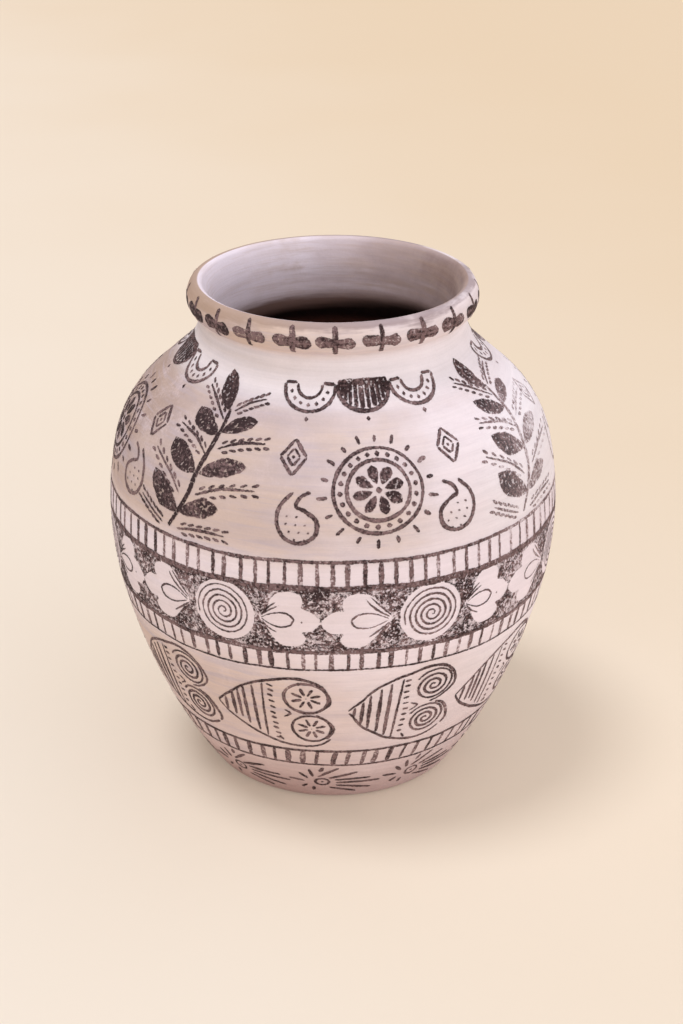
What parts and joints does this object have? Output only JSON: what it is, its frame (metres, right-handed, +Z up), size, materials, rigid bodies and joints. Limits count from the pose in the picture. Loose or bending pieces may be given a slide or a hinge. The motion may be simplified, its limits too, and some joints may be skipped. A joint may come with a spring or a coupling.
{
  "type": "clay water pot with tap",
  "caption": "Round-bellied clay water pot with a thick rolled lip, an open mouth and a small metal lever tap through its wall near the foot.",
  "frame": {"origin": "centre of the pot's flat foot, on the surface it stands on", "axes": "+Z up along the pot's axis, +Y towards the tap, +X to the right when the side without the tap is seen from the front"},
  "size_m": [0.2634, 0.2965, 0.3],
  "materials": {
    "clay": "matte, unglazed",
    "silicone": "matte",
    "steel": "satin",
    "chrome": "polished",
    "seat_plastic": "matte",
    "seal_rubber": "matte"
  },
  "bodies": {
    "pot": {"clay_pot": "clay", "outer_gasket": "silicone", "inner_gasket": "silicone", "backing_washer": "steel", "back_nut": "steel", "tap_body": "chrome", "rear_seat": "seat_plastic", "front_seat": "seat_plastic", "thrust_washer": "seat_plastic", "stem_seal": "seal_rubber", "gland_nut": "chrome", "spout": "chrome"},
    "valve": {"valve_ball": "steel", "valve_stem": "steel", "lever_handle": "chrome", "lever_screw": "steel"}
  },
  "joints": [
    {"name": "tap_lever_turn", "type": "hinge", "parent": "pot", "child": "valve", "pos_m": [0, 0.12757, 0.05052], "axis": [0, 0.3907, 0.9205], "range_deg": [0, 90]}
  ]
}
